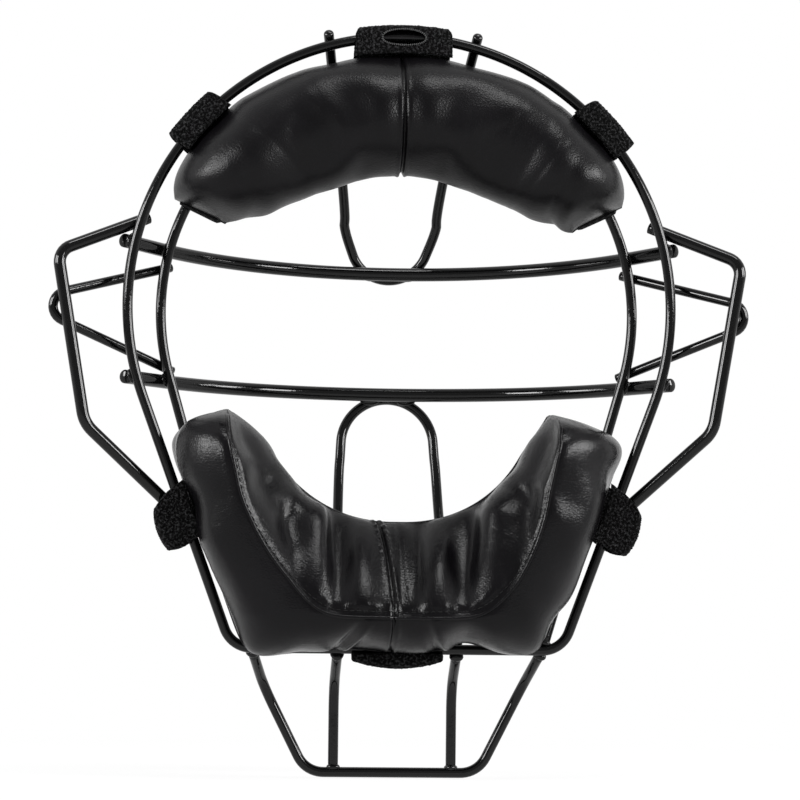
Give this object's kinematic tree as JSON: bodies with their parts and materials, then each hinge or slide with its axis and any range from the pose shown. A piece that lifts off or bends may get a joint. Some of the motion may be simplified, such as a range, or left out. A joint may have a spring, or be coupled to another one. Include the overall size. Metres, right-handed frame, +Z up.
{
  "type": "umpire mask",
  "caption": "Wire umpire face mask with bowed eye bars, ear guards and throat guard, vinyl forehead and chin pads, and peel-open hook-and-loop tabs.",
  "frame": {"origin": "centre of the rear hoop's round top, in the plane of that hoop, where the face sits", "axes": "+X to the wearer's right, +Y forward out of the cage, +Z up"},
  "size_m": [0.3186, 0.1187, 0.343],
  "materials": {
    "wire_coating": "gloss black coating on steel wire",
    "pad_vinyl": "semi-gloss black vinyl with fine grain",
    "pad_foam": "dark open-cell foam, inside the covers",
    "hook_loop_tape": "matte black napped tape"
  },
  "bodies": {
    "mask": {"rear_hoop": "wire_coating", "front_hoop": "wire_coating", "upper_eye_bar": "wire_coating", "lower_eye_bar": "wire_coating", "brow_bar": "wire_coating", "chin_bar": "wire_coating", "throat_guard_loop": "wire_coating", "ear_guard_left": "wire_coating", "ear_guard_right": "wire_coating", "ear_brace_left": "wire_coating", "ear_brace_right": "wire_coating", "throat_rod_left": "wire_coating", "throat_rod_right": "wire_coating", "forehead_foam": "pad_foam", "forehead_back_panel": "pad_vinyl", "forehead_cover_left": "pad_vinyl", "forehead_cover_right": "pad_vinyl", "chin_foam": "pad_foam", "chin_back_panel": "pad_vinyl", "chin_side_panel_left": "pad_vinyl", "chin_side_panel_right": "pad_vinyl", "chin_face_panel_left": "pad_vinyl", "chin_face_panel_right": "pad_vinyl", "forehead_tab_center": "hook_loop_tape", "forehead_tab_left": "hook_loop_tape", "forehead_tab_right": "hook_loop_tape", "chin_tab_center": "hook_loop_tape", "chin_tab_left": "hook_loop_tape", "chin_tab_right": "hook_loop_tape"},
    "forehead_center_flap": {"forehead_tab_center_flap": "hook_loop_tape"},
    "forehead_left_flap": {"forehead_tab_left_flap": "hook_loop_tape"},
    "forehead_right_flap": {"forehead_tab_right_flap": "hook_loop_tape"},
    "chin_center_flap": {"chin_tab_center_flap": "hook_loop_tape"},
    "chin_left_flap": {"chin_tab_left_flap": "hook_loop_tape"},
    "chin_right_flap": {"chin_tab_right_flap": "hook_loop_tape"}
  },
  "joints": [
    {"name": "forehead_center_flap_fold", "type": "hinge", "parent": "mask", "child": "forehead_center_flap", "pos_m": [0, 0.0028, 0.1291], "axis": [1, 0, 0], "range_deg": [0, 120]},
    {"name": "forehead_left_flap_fold", "type": "hinge", "parent": "mask", "child": "forehead_left_flap", "pos_m": [-0.09757, 0.0028, 0.08786], "axis": [0.6691, 0, 0.7431], "range_deg": [0, 120]},
    {"name": "forehead_right_flap_fold", "type": "hinge", "parent": "mask", "child": "forehead_right_flap", "pos_m": [0.09757, 0.0028, 0.08786], "axis": [0.6691, 0, -0.7431], "range_deg": [0, 120]},
    {"name": "chin_center_flap_fold", "type": "hinge", "parent": "mask", "child": "chin_center_flap", "pos_m": [0, 0.0028, -0.164], "axis": [-1, 0, 0], "range_deg": [0, 120]},
    {"name": "chin_left_flap_fold", "type": "hinge", "parent": "mask", "child": "chin_left_flap", "pos_m": [-0.11047, 0.0028, -0.0994], "axis": [-0.3453, 0, 0.9385], "range_deg": [0, 120]},
    {"name": "chin_right_flap_fold", "type": "hinge", "parent": "mask", "child": "chin_right_flap", "pos_m": [0.11047, 0.0028, -0.0994], "axis": [-0.3453, 0, -0.9385], "range_deg": [0, 120]}
  ]
}
